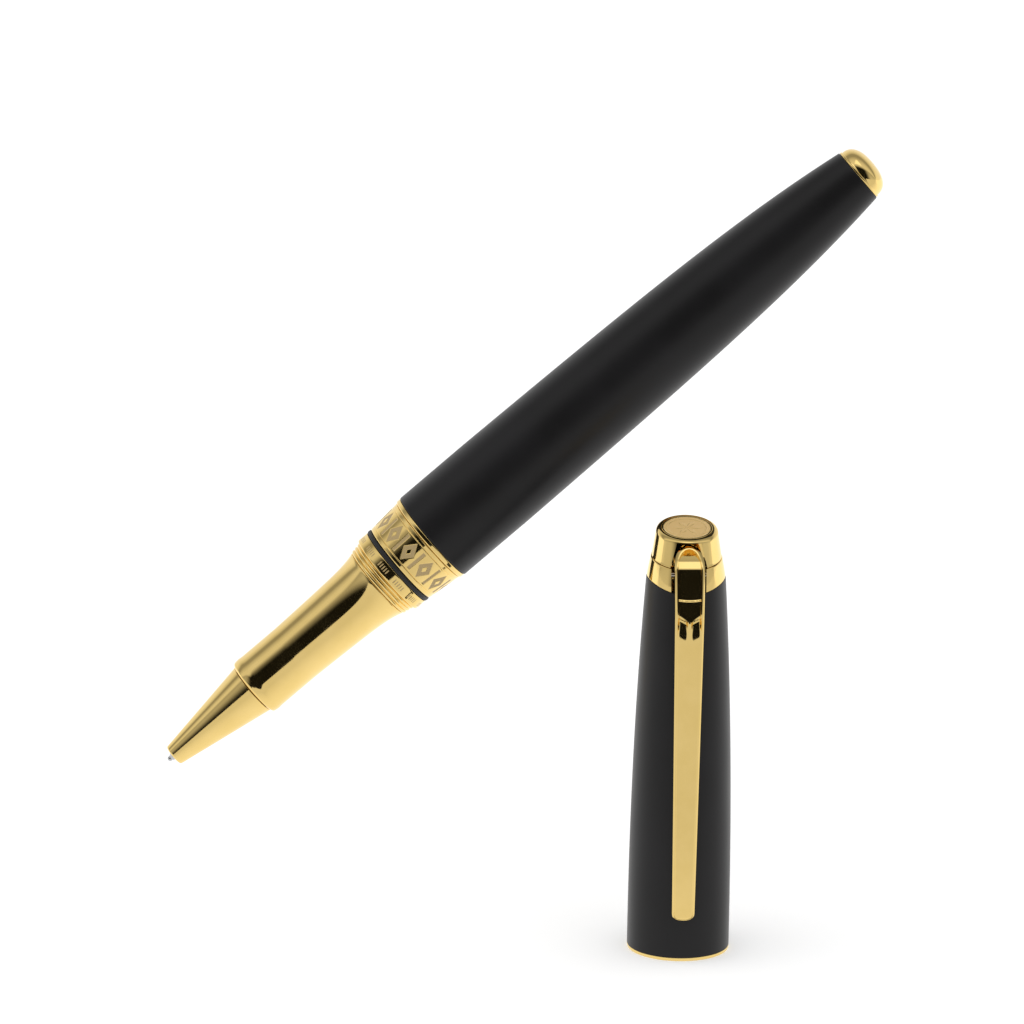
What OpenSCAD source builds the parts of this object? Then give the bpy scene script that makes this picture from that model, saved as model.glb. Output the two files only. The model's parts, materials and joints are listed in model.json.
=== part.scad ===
// Rollerball pen: a tapered body with a gilt grip, and a push-on cap that
// stands beside it on its mouth. The pen leans as it does in a cradle.
// The origin is the middle of the straight front of the grip, on the pen's axis.

/* [Nozzle and grip] */
// Length of the conical nozzle
nozzle_len = 13.8; // [12:0.1:15]
// Diameter of the nozzle's rounded front end
nose_d = 2.9; // [2.6:0.1:3.4]
// Diameter of the nozzle's rear edge
nozzle_d = 7.3; // [7:0.1:7.6]
// Diameter of the straight front of the grip
grip_d = 8.3; // [8:0.1:8.8]
// Diameter of the grip where it meets the ribs
grip_rear_d = 10.3; // [9.8:0.1:10.6]
// Length of the straight front of the grip
grip_flat = 7.2; // [4:0.1:10]
// Length of the section from the nozzle's front to the barrel
section_len = 39.4; // [38:0.1:41]

/* [Barrel] */
// Largest diameter of the barrel
barrel_d = 13.1; // [13:0.1:13.6]
// Diameter of the barrel's tail
tail_d = 7.6; // [7.4:0.1:8.2]
// Length from the front of the collar band to the tail
barrel_len = 78.7; // [78:0.1:81]
// Length of the straight front part of the barrel tube
barrel_flat = 11; // [9:1:14]
// How sharply the taper tightens towards the tail
barrel_taper = 4; // [3:0.1:5]
// Height of the gilt collar band
band_h = 4.8; // [4:0.1:5.4]
// Height of the thin trim ring behind the band
trim_h = 0.7; // [0.4:0.1:0.9]
// Height of the domed finial
finial_h = 2.6; // [1.8:0.1:3]

/* [Refill] */
// Diameter of the refill's tube
refill_d = 6; // [5.8:0.1:6.1]
// Diameter of the writing ball
ball_d = 0.7; // [0.6:0.1:0.8]
// How far the ball stands out of the nozzle
tip_out = 0.95; // [0.8:0.05:1.3]
// Turns of the refill spring
spring_turns = 5; // [3:1:7]

/* [Cap] */
// Height of the cap on its axis
cap_len = 56.2; // [55:0.1:58]
// Outer diameter of the cap's mouth
cap_mouth_d = 13.24; // [13.1:0.02:13.6]
// Outer diameter of the cap tube under the collar
cap_top_d = 10.2; // [10:0.1:10.8]
// How sharply the cap's taper tightens towards the top
cap_taper = 2.3; // [2:0.1:3]
// Inner diameter of the cap's mouth
cap_bore_d = 11.9; // [11.86:0.01:11.95]
// Diameter of the medallion in the crown
medallion_d = 6.6; // [6:0.1:6.8]
// Slope of the crown's flat top
crown_slope = 12; // [8:1:16]
// How far the collar's lower edge dips at the front
collar_dip = 1.35; // [0.6:0.05:1.6]

/* [Clip] */
// Width of the clip at its knuckle
clip_w = 3.86; // [3.6:0.02:3.9]
// Width of the clip near its tip
clip_tip_w = 2.9; // [2.6:0.1:3.4]
// Height of the clip's tip above the cap's mouth
clip_tip_z = 5.65; // [4:0.05:8]

/* [Display pose] */
// Lean of the pen's axis above the horizontal
lean = 41; // [30:1:60]
// Turn of the pen's tail towards the back
swing = 6; // [0:1:12]
// Turn of the cap's clip from the front towards the right
cap_turn = 3; // [0:1:20]
// Cap's axis to the right of the origin
cap_x = 53.2; // [46:0.1:64]
// Cap's axis in front of the origin
cap_y = 19.5; // [16:0.5:40]
// Cap's mouth below the origin
cap_z = 31; // [24:0.5:40]

/* [Hidden] */
$fn = 96;

gilt = [0.88, 0.75, 0.46];
lacquer = [0.11, 0.1, 0.11];
brass = [0.72, 0.56, 0.28];
steel = [0.72, 0.73, 0.75];
rubber = [0.05, 0.05, 0.05];
plastic = [0.2, 0.2, 0.22];
ivory = [0.88, 0.87, 0.82];
ink = [0.1, 0.14, 0.4];

// Gap between pieces that are assembled for good, and between pieces that move
seat_gap = 0.03;
run_gap = 0.05;
small_fillet = 0.15;

// Stations along the pen, from the nozzle's front
grip_z = nozzle_len + 0.1;
rib_z = section_len - 3.9;
shoulder_z = section_len - 2.3;
seal_z = section_len - 0.65;
band_z = section_len + run_gap;
trim_z = band_z + band_h + 0.05;
tube_z = trim_z + trim_h;
taper_z = tube_z + barrel_flat;
tail_z = section_len + barrel_len;
hold_z = grip_z + grip_flat / 2 + 0.2;

// Radii of the section
nozzle_spigot_r = 3;
nozzle_spigot_z = nozzle_len + 3.7;
core_r = 3.6;
core_neck_r = 4.6;
core_flange_r = 5.15;
core_bore_r = refill_d / 2 + 0.1;
thread_r = 4.9;
thread_pitch = 1;
thread_turns = 5;
thread_z = section_len + 6;
core_end_z = section_len + 13.5;
shoulder_r = 5.88;

// Radii of the barrel
barrel_r = barrel_d / 2;
barrel_wall = 0.55;
bush_neck_r = 5.4;
bush_end_z = section_len + 17.5;
tail_bore_r = 3.3;
plug_z = tail_z - 3.35;
guide_r = refill_d / 2 + 0.65;
guide_bore_r = refill_d / 2 + 0.2;

// Stations and radii of the refill
refill_r = refill_d / 2;
ball_z = ball_d / 2 - tip_out;
tip_r = 0.8;
tip_step_z = 3.45;
tip_step_r = 1.15;
tip_end_z = 6;
nose_r = 1.25;
nose_cone_z = nozzle_len + 2;
nose_end_z = nose_cone_z + 4.5;
refill_wall = 0.25;
refill_end_z = tail_z - 8.5;
spring_z = refill_end_z + 0.15;
spring_h = plug_z - 0.55 - spring_z;
spring_r = 2.1;
spring_wire_r = 0.25;

// Stations and radii of the cap, from its mouth
cap_r = cap_mouth_d / 2;
cap_bore_r = cap_bore_d / 2;
mouth_h = 0.45;
collar_z = cap_len - 6.35;
seam_z = cap_len - 3.6;
seam_slope = 11;
liner_end_z = 12;
liner_r = cap_r - 0.37;
cap_wall = 0.5;
clutch_z = 4.4;
clutch_r = 5.7;
cup_z = section_len - grip_z + 0.1;
cup_end_z = cap_len - 12.8;
cup_r = 4.6;
cup_bore_r = 3.85;
sleeve_z = cap_len - 12.6;
sleeve_r = cap_top_d / 2 - 0.7;
sleeve_bore_r = sleeve_r - 0.38;
crown_foot_z = cap_len - 7.45;
screw_r = 0.85;
screw_head_r = 1.6;
screw_top_z = cap_len - 3.4;

// Clip hinge and slot
pin_z = cap_len - 5.6;
pin_y = -2.6;
pin_r = 0.4;
lug_r = 1.1;
slot_w = 4.5;
slot_foot_w = 4.84;
slot_top_w = 3.14;
slot_floor_y = -1.2;
slot_knee_z = cap_len - 4.5;
slot_top_z = cap_len - 1.13;
clip_spring_z = cap_len - 2.9;

// ---- Shared shapes ----

module at_pen() {
    rotate([0, 90 - lean, swing]) translate([0, 0, -hold_z]) children();
}

module at_cap() {
    translate([cap_x, -cap_y, -cap_z]) rotate([0, 0, cap_turn]) children();
}

module lathe(points) {
    rotate_extrude() polygon(points);
}

module pipe(r_out, r_in, z_low, z_high) {
    rotate_extrude() translate([r_in, z_low]) square([r_out - r_in, z_high - z_low]);
}

module rod(r, z_low, z_high) {
    translate([0, 0, z_low]) cylinder(r = r, h = z_high - z_low);
}

// Everything above a plane through the cap's axis at height z, low at the front
module above_slope(z, slope) {
    translate([0, 0, z]) rotate([slope, 0, 0]) translate([-20, -20, 0]) cube([40, 40, 30]);
}

module below_slope(z, slope) {
    translate([0, 0, z]) rotate([slope, 0, 0]) translate([-20, -20, -80]) cube([40, 40, 80]);
}

// Everything between height z_far and the collar's lower edge, which is level at
// height z from the back to the sides and then curves down towards the front
module to_dip(z, z_far) {
    front_y = 5.2;
    rotate([90, 0, 90])
        linear_extrude(height = 40, center = true)
            polygon(concat(
                [for (y = [-7:0.5:0]) [y, z - collar_dip * pow(y / front_y, 2)]],
                [[20, z], [20, z_far], [-7, z_far]]
            ));
}

// Round wire wound into a helix that stands on z = 0
module coil(r, wire_r, height, turns) {
    steps = 20 * turns;
    sides = 8;
    rise = height - 2 * wire_r;
    points = [
        for (i = [0:steps], j = [0:sides - 1])
            let (turn = 360 * turns * i / steps, around = 360 * j / sides)
                [
                    (r + wire_r * cos(around)) * cos(turn),
                    (r + wire_r * cos(around)) * sin(turn),
                    wire_r + rise * i / steps + wire_r * sin(around)
                ]
    ];
    walls = [
        for (i = [0:steps - 1], j = [0:sides - 1])
            let (next = (j + 1) % sides)
                [i * sides + j, (i + 1) * sides + j, (i + 1) * sides + next, i * sides + next]
    ];
    start_face = [[for (j = [0:sides - 1]) j]];
    end_face = [[for (j = [0:sides - 1]) steps * sides + sides - 1 - j]];
    polyhedron(points = points, faces = concat(walls, start_face, end_face), convexity = 10);
}

// ---- Section ----

function grip_r(t) = grip_d / 2 + (grip_rear_d - grip_d) / 2 * (0.5 * pow(t, 1.1) + 0.5 * pow(t, 8));

module nozzle() {
    fillet = 0.5;
    nose_r = nose_d / 2;
    front_bore_r = tip_r + 0.09;
    outline = concat(
        [[front_bore_r, 0]],
        [for (a = [0:15:90]) [nose_r - fillet + fillet * sin(a), fillet - fillet * cos(a)]],
        [
            [nozzle_d / 2, nozzle_len - 0.1],
            [nozzle_d / 2 - 0.1, nozzle_len],
            [nozzle_spigot_r, nozzle_len],
            [nozzle_spigot_r, nozzle_spigot_z],
            [2.4, nozzle_spigot_z],
            [2.4, nozzle_len - 1.2],
            [nose_r - 0.2 + run_gap, nozzle_len - 1.9],
            [nose_r - 0.2 + run_gap, tip_step_z - run_gap],
            [front_bore_r, tip_step_z - run_gap]
        ]);
    color(gilt) at_pen() lathe(outline);
}

module grip_sleeve() {
    front_fillet = 0.45;
    flare_z = grip_z + grip_flat;
    outline = concat(
        [[nozzle_spigot_r + seat_gap, grip_z]],
        [
            for (a = [0:15:90])
                [grip_d / 2 - front_fillet * (1 - sin(a)), grip_z + front_fillet * (1 - cos(a))]
        ],
        [for (t = [0:0.05:1]) [grip_r(t), flare_z + t * (rib_z - 0.15 - flare_z)]],
        [
            [grip_rear_d / 2 - 0.12, rib_z],
            [core_r + seat_gap, rib_z],
            [core_r + seat_gap, nozzle_spigot_z + seat_gap],
            [nozzle_spigot_r + seat_gap, nozzle_spigot_z + seat_gap]
        ]);
    color(gilt) at_pen() lathe(outline);
}

module section_core() {
    color(brass) at_pen() {
        pipe(core_r, core_bore_r, nozzle_spigot_z + 2 * seat_gap, rib_z + seat_gap);
        pipe(core_neck_r, core_bore_r, rib_z + seat_gap, seal_z);
        pipe(core_flange_r, core_bore_r, seal_z, section_len);
        pipe(thread_r - 0.2, core_bore_r, section_len, core_end_z);
        for (turn = [0:thread_turns - 1])
            translate([0, 0, thread_z + turn * thread_pitch])
                lathe([
                    [core_bore_r + 0.3, 0],
                    [thread_r - 0.25, 0],
                    [thread_r, 0.35],
                    [thread_r, 0.6],
                    [thread_r - 0.25, 0.95],
                    [core_bore_r + 0.3, 0.95]
                ]);
    }
}

module rib_ring() {
    ribs = 3;
    step = (shoulder_z - rib_z) / ribs;
    front_r = grip_rear_d / 2 - 0.1;
    growth = 0.1;
    color(gilt) at_pen()
        rotate_extrude() {
            polygon([
                [core_neck_r + seat_gap, rib_z + 2 * seat_gap],
                [front_r, rib_z + 2 * seat_gap],
                [front_r + ribs * growth, shoulder_z - seat_gap],
                [core_neck_r + seat_gap, shoulder_z - seat_gap]
            ]);
            for (i = [0:ribs - 1])
                translate([front_r + growth * (i + 0.5), rib_z + (i + 0.52) * step])
                    circle(r = 0.24, $fn = 32);
        }
}

module shoulder_band() {
    chamfer = 0.2;
    color(gilt) at_pen()
        lathe([
            [core_neck_r + seat_gap, shoulder_z],
            [shoulder_r - chamfer, shoulder_z],
            [shoulder_r, shoulder_z + chamfer],
            [shoulder_r, seal_z - seat_gap],
            [core_neck_r + seat_gap, seal_z - seat_gap]
        ]);
}

module seal_ring() {
    height = section_len - seal_z - seat_gap;
    bead_r = 0.3;
    color(rubber) at_pen()
        rotate_extrude() {
            translate([core_flange_r + seat_gap, seal_z])
                square([shoulder_r - bead_r - core_flange_r, height]);
            translate([shoulder_r + 0.05 - bead_r, seal_z + height / 2]) circle(r = bead_r, $fn = 32);
        }
}

// ---- Barrel ----

function taper_share(z) = max(0, z - taper_z) / (tail_z - taper_z);
function taper_fall(s) = 0.28 * pow(s, 1.1) + 0.72 * pow(s, barrel_taper);
function barrel_r(z) = barrel_r - (barrel_r - tail_d / 2) * taper_fall(taper_share(z));

module collar_band() {
    front_r = barrel_r - 0.63;
    rear_r = barrel_r - 0.2;
    edge = 0.12;
    groove_r = 0.07;
    color(gilt) at_pen()
        difference() {
            lathe([
                [bush_neck_r + seat_gap, band_z],
                [front_r - edge, band_z],
                [front_r, band_z + edge],
                [rear_r, band_z + band_h - edge],
                [rear_r - edge, band_z + band_h],
                [bush_neck_r + seat_gap, band_z + band_h]
            ]);
            for (share = [0.13, 0.87])
                translate([0, 0, band_z + share * band_h])
                    rotate_extrude()
                        translate([front_r + share * (rear_r - front_r), 0]) circle(r = groove_r, $fn = 24);
        }
}

module trim_ring() {
    edge = 0.12;
    color(gilt) at_pen()
        lathe([
            [bush_neck_r + seat_gap, trim_z],
            [barrel_r - 0.03 - edge, trim_z],
            [barrel_r - 0.03, trim_z + edge],
            [barrel_r - 0.03, tube_z - seat_gap - edge],
            [barrel_r - 0.03 - edge, tube_z - seat_gap],
            [bush_neck_r + seat_gap, tube_z - seat_gap]
        ]);
}

module thread_bush() {
    bush_r = barrel_r - barrel_wall - 2 * seat_gap;
    color(brass) at_pen()
        lathe([
            [thread_r + run_gap, band_z + 0.1],
            [bush_neck_r, band_z + 0.1],
            [bush_neck_r, tube_z],
            [bush_r, tube_z],
            [bush_r, bush_end_z],
            [thread_r + run_gap, bush_end_z]
        ]);
}

module barrel_tube() {
    bore_end_z = plug_z - 1.8;
    outline = concat(
        [[barrel_r - barrel_wall - seat_gap, tube_z], [barrel_r - 0.05, tube_z], [barrel_r, tube_z + 0.05]],
        [for (t = [0:0.04:1]) let (z = taper_z + t * (tail_z - taper_z)) [barrel_r(z), z]],
        [[tail_bore_r, tail_z], [tail_bore_r, bore_end_z]],
        [
            for (t = [0.9:-0.1:0])
                let (z = taper_z + t * (bore_end_z - taper_z))
                    [barrel_r(z) - barrel_wall - seat_gap, z]
        ]);
    color(lacquer) at_pen() lathe(outline);
}

module refill_guide() {
    flange_z = bush_end_z + seat_gap;
    flange_r = barrel_r - barrel_wall - 3 * seat_gap;
    color(plastic) at_pen() {
        pipe(flange_r, guide_bore_r, flange_z, flange_z + 1);
        pipe(guide_r - seat_gap, guide_bore_r, flange_z + 1, plug_z - 4.5);
    }
}

module end_plug() {
    color(brass) at_pen()
        difference() {
            rod(tail_bore_r - seat_gap, plug_z, tail_z - 0.05);
            rod(1.02, plug_z + 0.6, tail_z);
        }
}

module finial() {
    lip_h = 0.3;
    dome_r = tail_d / 2 - 0.17;
    dome_h = finial_h - lip_h - seat_gap;
    base_z = tail_z + seat_gap;
    outline = concat(
        [[0, base_z - 2], [1, base_z - 2], [1, base_z]],
        [[tail_d / 2 - 0.08, base_z], [tail_d / 2 - 0.03, base_z + 0.05], [tail_d / 2 - 0.03, base_z + lip_h]],
        [
            for (a = [0:10:90])
                [dome_r * pow(cos(a), 0.8), base_z + lip_h + dome_h * pow(sin(a), 0.9)]
        ]);
    color(gilt) at_pen() lathe(outline);
}

// ---- Spring behind the refill ----

module refill_spring() {
    color(steel) at_pen() translate([0, 0, spring_z]) coil(spring_r, spring_wire_r, spring_h, spring_turns);
}

module spring_washer() {
    color(brass) at_pen() pipe(2.8, 1.5, spring_z + spring_h + 0.05, plug_z - 0.1);
}

// ---- Refill ----

module refill_tip() {
    rim_z = ball_z - ball_d / 4;
    socket_r = ball_d / 2 + 0.02;
    color(steel) at_pen()
        difference() {
            lathe([
                [0, rim_z],
                [ball_d / 2 + 0.08, rim_z],
                [tip_r, 0.35],
                [tip_r, tip_step_z],
                [tip_step_r, tip_step_z + 0.3],
                [tip_step_r, tip_end_z],
                [0.7, tip_end_z],
                [0.7, tip_end_z + 3],
                [0, tip_end_z + 3]
            ]);
            translate([0, 0, ball_z]) sphere(r = socket_r, $fn = 48);
            rod(0.15, ball_z, tip_end_z + 4);
        }
}

module refill_nose() {
    spigot_r = refill_r - refill_wall - seat_gap;
    color(ivory) at_pen()
        lathe([
            [0.7 + seat_gap, tip_end_z + seat_gap],
            [nose_r, tip_end_z + seat_gap],
            [nose_r, nose_cone_z],
            [refill_r, nose_cone_z + 3.5],
            [refill_r, nose_end_z],
            [spigot_r, nose_end_z],
            [spigot_r, nose_end_z + 3],
            [0.4, nose_end_z + 3],
            [0.4, tip_end_z + 3.2],
            [0.7 + seat_gap, tip_end_z + 3.2]
        ]);
}

module refill_tube() {
    color(steel) at_pen()
        pipe(refill_r, refill_r - refill_wall, nose_end_z + seat_gap, refill_end_z - 0.7);
}

module ink_reservoir() {
    color(ink) at_pen() rod(refill_r - refill_wall - 0.1, nose_end_z + 3.1, refill_end_z - 4.8);
}

module refill_plug() {
    color(ink) at_pen() {
        rod(refill_r - refill_wall - seat_gap, refill_end_z - 4.6, refill_end_z - 0.65);
        rod(refill_r, refill_end_z - 0.65, refill_end_z);
    }
}

module writing_ball() {
    color(steel) at_pen() translate([0, 0, ball_z]) sphere(r = ball_d / 2, $fn = 48);
}

// ---- Cap ----

function cap_r(z) = cap_r - (cap_r - cap_top_d / 2) * pow(max(0, z) / collar_z, cap_taper);

module cap_mouth_ring() {
    color(gilt) at_cap()
        lathe([
            [cap_bore_r, 0],
            [cap_r - small_fillet, 0],
            [cap_r - small_fillet / 3, small_fillet / 3],
            [cap_r, small_fillet],
            [cap_r, mouth_h],
            [liner_r - seat_gap, mouth_h],
            [liner_r - seat_gap, mouth_h + 1.6],
            [cap_bore_r, mouth_h + 1.6]
        ]);
}

module cap_tube() {
    low_z = mouth_h + seat_gap;
    high_z = cap_len - 5;
    outline = concat(
        [for (t = [0:0.05:1]) let (z = low_z + t * (high_z - low_z)) [cap_r(z), z]],
        [
            for (t = [1:-0.1:0])
                let (z = liner_end_z + seat_gap + t * (high_z - liner_end_z - seat_gap)) [cap_r(z) - cap_wall, z]
        ],
        [[liner_r, liner_end_z + seat_gap], [liner_r, low_z]]);
    color(lacquer) at_cap()
        intersection() {
            lathe(outline);
            to_dip(collar_z, -1);
        }
}

module cap_liner() {
    low_z = mouth_h + 1.6 + seat_gap;
    color(brass) at_cap() pipe(liner_r - seat_gap, cap_bore_r, low_z, clutch_z);
}

// Sprung sleeve whose slit fingers snap over the ribs of the section
module cap_clutch() {
    fingers = 6;
    slit_w = 0.5;
    bump_r = 5.2;
    front_z = clutch_z + seat_gap;
    rear_z = liner_end_z - 0.8;
    color(steel) at_cap()
        difference() {
            lathe([
                [cap_bore_r, front_z],
                [liner_r - 0.15, front_z],
                [liner_r - seat_gap, front_z + 0.4],
                [liner_r - seat_gap, rear_z],
                [clutch_r, rear_z],
                [clutch_r, front_z + 1.6],
                [bump_r, front_z + 1.1],
                [bump_r, front_z + 0.7]
            ]);
            for (i = [0:fingers - 1])
                rotate([0, 0, i * 360 / fingers + 30])
                    translate([4, -slit_w / 2, clutch_z - 1]) cube([4, slit_w, 5.5]);
        }
}

module inner_cap() {
    end_wall = 1.2;
    flange_r = cap_r(cup_end_z) - cap_wall - 0.1;
    color(plastic) at_cap()
        difference() {
            union() {
                rod(cup_r, cup_z, cup_end_z);
                rod(flange_r, cup_end_z - 1, cup_end_z);
            }
            rod(cup_bore_r, cup_z - 1, cup_end_z - end_wall);
        }
}

module cap_end_plug() {
    plug_z = cap_len - 11.6;
    color(brass) at_cap()
        difference() {
            rod(sleeve_bore_r - seat_gap, plug_z, crown_foot_z - seat_gap);
            rod(screw_head_r + 0.1, plug_z - 1, plug_z + 1.1);
            rod(screw_r + 0.1, plug_z, crown_foot_z);
        }
}

module crown_screw() {
    head_z = cap_len - 11.55;
    slot_w = 0.45;
    color(steel) at_cap()
        difference() {
            union() {
                rod(screw_head_r, head_z, head_z + 1);
                rod(screw_r, head_z + 1, screw_top_z);
            }
            translate([-3, -slot_w / 2, head_z - 1]) cube([6, slot_w, 1.45]);
        }
}

// Slot for the clip, from z_low to z_high, that narrows above the knee
module clip_slot(z_low, low_w, top_w, z_high) {
    rotate([90, 0, 0])
        linear_extrude(height = 10)
            polygon([
                [-low_w / 2, z_low],
                [low_w / 2, z_low],
                [low_w / 2, slot_knee_z],
                [top_w / 2, z_high],
                [-top_w / 2, z_high],
                [-low_w / 2, slot_knee_z]
            ]);
}

// The collar tapers more sharply than the tube below it
function collar_r(z) = cap_r(z) - 0.064 * pow(max(0, z - collar_z + 0.5), 1.4);

module cap_collar() {
    low_z = cap_len - 10;
    outline = concat(
        [for (t = [0:0.1:1]) let (z = low_z + t * 8) [collar_r(z), z]],
        [[sleeve_bore_r, low_z + 8], [sleeve_bore_r, low_z]]);
    color(gilt) at_cap()
        difference() {
            union() {
                intersection() {
                    lathe(outline);
                    to_dip(collar_z + seat_gap, cap_len);
                    below_slope(seam_z - seat_gap, seam_slope);
                }
                pipe(sleeve_r, sleeve_bore_r, sleeve_z, cap_len - 5.4);
            }
            clip_slot(cap_len - 9, slot_w, slot_w, cap_len);
        }
}

module cap_crown() {
    foot_r = sleeve_bore_r - seat_gap;
    rise = 0.16;
    low_z = cap_len - 7;
    seam_r = collar_r(seam_z) - 0.06;
    high_z = cap_len + 1.5;
    color(gilt) at_cap()
        difference() {
            union() {
                rod(foot_r, crown_foot_z, seam_z);
                intersection() {
                    lathe([
                        [0, low_z],
                        [seam_r + rise * (seam_z - low_z), low_z],
                        [seam_r - rise * (high_z - seam_z), high_z],
                        [0, high_z]
                    ]);
                    above_slope(seam_z, seam_slope);
                    translate([0, 0, cap_len])
                        rotate([crown_slope, 0, 0])
                            translate([0, 0, -10])
                                cylinder(r1 = 13.45, r2 = 3.45, h = 10);
                }
            }
            translate([0, 0, cap_len])
                rotate([crown_slope, 0, 0])
                    translate([0, 0, -0.3]) cylinder(r = medallion_d / 2 + seat_gap, h = 1);
            translate([0, slot_floor_y, 0]) clip_slot(crown_foot_z - 1, slot_foot_w, slot_top_w, slot_top_z);
            rod(screw_r + seat_gap, crown_foot_z - 1, screw_top_z + 0.1);
            translate([0, pin_y, pin_z]) rotate([0, 90, 0]) cylinder(r = pin_r + 0.02, h = 12, center = true);
            translate([0, slot_floor_y + 0.9, clip_spring_z]) rotate([90, 0, 0]) cylinder(r = 0.75, h = 2);
        }
}

module crown_medallion() {
    field_r = medallion_d / 2;
    color(gilt) at_cap()
        translate([0, 0, cap_len])
            rotate([crown_slope, 0, 0])
                translate([0, 0, -0.27])
                    lathe([
                        [0, 0],
                        [field_r, 0],
                        [field_r, 0.27],
                        [field_r - 0.35, 0.27],
                        [field_r - 0.45, 0.19],
                        [field_r - 0.6, 0.19],
                        [field_r - 0.7, 0.27],
                        [0, 0.27]
                    ]);
}

module clip_pin() {
    pin_len = 5.1;
    color(steel) at_cap()
        translate([0, pin_y, pin_z]) rotate([0, 90, 0]) cylinder(r = pin_r, h = pin_len, center = true);
}

module clip_spring() {
    color(steel) at_cap()
        translate([0, slot_floor_y + 0.85, clip_spring_z]) rotate([90, 0, 0]) coil(0.5, 0.11, 2.2, 4);
}

// ---- Clip ----

// Side view: distance in front of the cap's axis, and height
module clip_side() {
    rest_r = cap_r + 0.06;
    polygon([
        [3.1, cap_len - 1.75],
        [3.6, cap_len - 1.45],
        [4.3, cap_len - 1.75],
        [5.1, cap_len - 2.4],
        [5.75, cap_len - 3.2],
        [6.15, cap_len - 4.05],
        [6.7, cap_len - 6.3],
        [7.1, cap_len - 8.7],
        [7.25, cap_len - 10.2],
        [rest_r + 0.92, clip_tip_z + 0.6],
        [rest_r + 0.75, clip_tip_z],
        [rest_r + 0.2, clip_tip_z],
        [rest_r, clip_tip_z + 0.7],
        [rest_r, clip_tip_z + 2.8],
        [rest_r + 0.12, clip_tip_z + 4],
        [6.4, cap_len - 10],
        [6.1, cap_len - 7.9],
        [5.5, cap_len - 6.9],
        [-pin_y + 0.3, cap_len - 6.68],
        [-pin_y + 0.3, pin_z + 0.3],
        [3.1, cap_len - 4]
    ]);
}

// Front view: an arch over the knuckle, straight sides and a rounded point
module clip_front() {
    half = clip_w / 2;
    tip_half = clip_tip_w / 2;
    arch_z = cap_len - 3.75;
    arch_h = 2.3;
    tip_h = 1.1;
    polygon(concat(
        [for (a = [0:10:180]) [half * cos(a), arch_z + arch_h * sin(a)]],
        [
            for (a = [180:10:360])
                [tip_half * cos(a), clip_tip_z + tip_h + tip_h * sin(a)]
        ]));
}

module clip() {
    panel_half = clip_w / 2 - 0.5;
    color(gilt) at_cap()
        difference() {
            union() {
                intersection() {
                    rotate([90, 0, -90])
                        translate([0, 0, -5]) linear_extrude(height = 10) clip_side();
                    rotate([90, 0, 0]) linear_extrude(height = 12) clip_front();
                }
                translate([0, pin_y, pin_z])
                    rotate([0, 90, 0]) cylinder(r = lug_r, h = clip_w - 0.1, center = true);
            }
            translate([0, pin_y, pin_z])
                rotate([0, 90, 0]) cylinder(r = pin_r + run_gap, h = 12, center = true);
            intersection() {
                rotate([90, 0, 0])
                    linear_extrude(height = 12)
                        polygon([
                            [-panel_half, cap_len - 4.1],
                            [panel_half, cap_len - 4.1],
                            [panel_half, cap_len - 10.1],
                            [0, cap_len - 10.87],
                            [-panel_half, cap_len - 10.1]
                        ]);
                rotate([90, 0, -90])
                    translate([0, 0, -5])
                        linear_extrude(height = 10)
                            polygon([
                                [5.77, cap_len - 4],
                                [9, cap_len - 4],
                                [9, cap_len - 11],
                                [7.2, cap_len - 11]
                            ]);
            }
        }
}

nozzle();
grip_sleeve();
section_core();
rib_ring();
shoulder_band();
seal_ring();
collar_band();
trim_ring();
thread_bush();
barrel_tube();
refill_guide();
end_plug();
finial();
refill_spring();
spring_washer();
refill_tip();
refill_nose();
refill_tube();
ink_reservoir();
refill_plug();
writing_ball();
cap_mouth_ring();
cap_tube();
cap_liner();
cap_clutch();
inner_cap();
cap_end_plug();
crown_screw();
cap_collar();
cap_crown();
crown_medallion();
clip_pin();
clip_spring();
clip();
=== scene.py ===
import math

import bpy
import numpy as np
from mathutils import Matrix, Vector
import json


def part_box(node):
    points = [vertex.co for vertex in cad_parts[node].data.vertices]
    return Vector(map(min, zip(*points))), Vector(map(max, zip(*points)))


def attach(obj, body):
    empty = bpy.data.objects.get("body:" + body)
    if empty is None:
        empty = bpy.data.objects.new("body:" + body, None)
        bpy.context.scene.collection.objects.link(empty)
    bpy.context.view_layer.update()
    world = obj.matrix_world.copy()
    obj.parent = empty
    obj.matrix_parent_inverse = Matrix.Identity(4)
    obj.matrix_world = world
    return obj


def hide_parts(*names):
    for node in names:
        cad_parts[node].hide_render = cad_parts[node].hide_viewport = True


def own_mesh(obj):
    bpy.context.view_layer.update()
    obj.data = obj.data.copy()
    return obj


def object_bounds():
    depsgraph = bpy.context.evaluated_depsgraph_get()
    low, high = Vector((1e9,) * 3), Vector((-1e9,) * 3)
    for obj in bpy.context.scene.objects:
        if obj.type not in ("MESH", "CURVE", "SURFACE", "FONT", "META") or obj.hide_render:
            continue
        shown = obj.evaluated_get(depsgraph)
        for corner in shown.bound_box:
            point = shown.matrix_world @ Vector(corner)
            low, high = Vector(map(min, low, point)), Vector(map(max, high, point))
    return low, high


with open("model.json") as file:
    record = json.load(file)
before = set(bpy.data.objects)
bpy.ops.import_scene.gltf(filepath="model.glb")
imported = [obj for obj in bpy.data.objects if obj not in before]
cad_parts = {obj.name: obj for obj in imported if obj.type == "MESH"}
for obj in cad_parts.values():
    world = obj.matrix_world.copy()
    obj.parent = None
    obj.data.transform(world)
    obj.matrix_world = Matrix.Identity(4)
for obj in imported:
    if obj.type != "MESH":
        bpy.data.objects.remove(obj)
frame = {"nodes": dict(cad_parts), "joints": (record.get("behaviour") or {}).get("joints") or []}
cad_low, cad_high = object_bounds()

MM = 0.001
JOINTS = {j["name"]: j for j in frame["joints"]}

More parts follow.
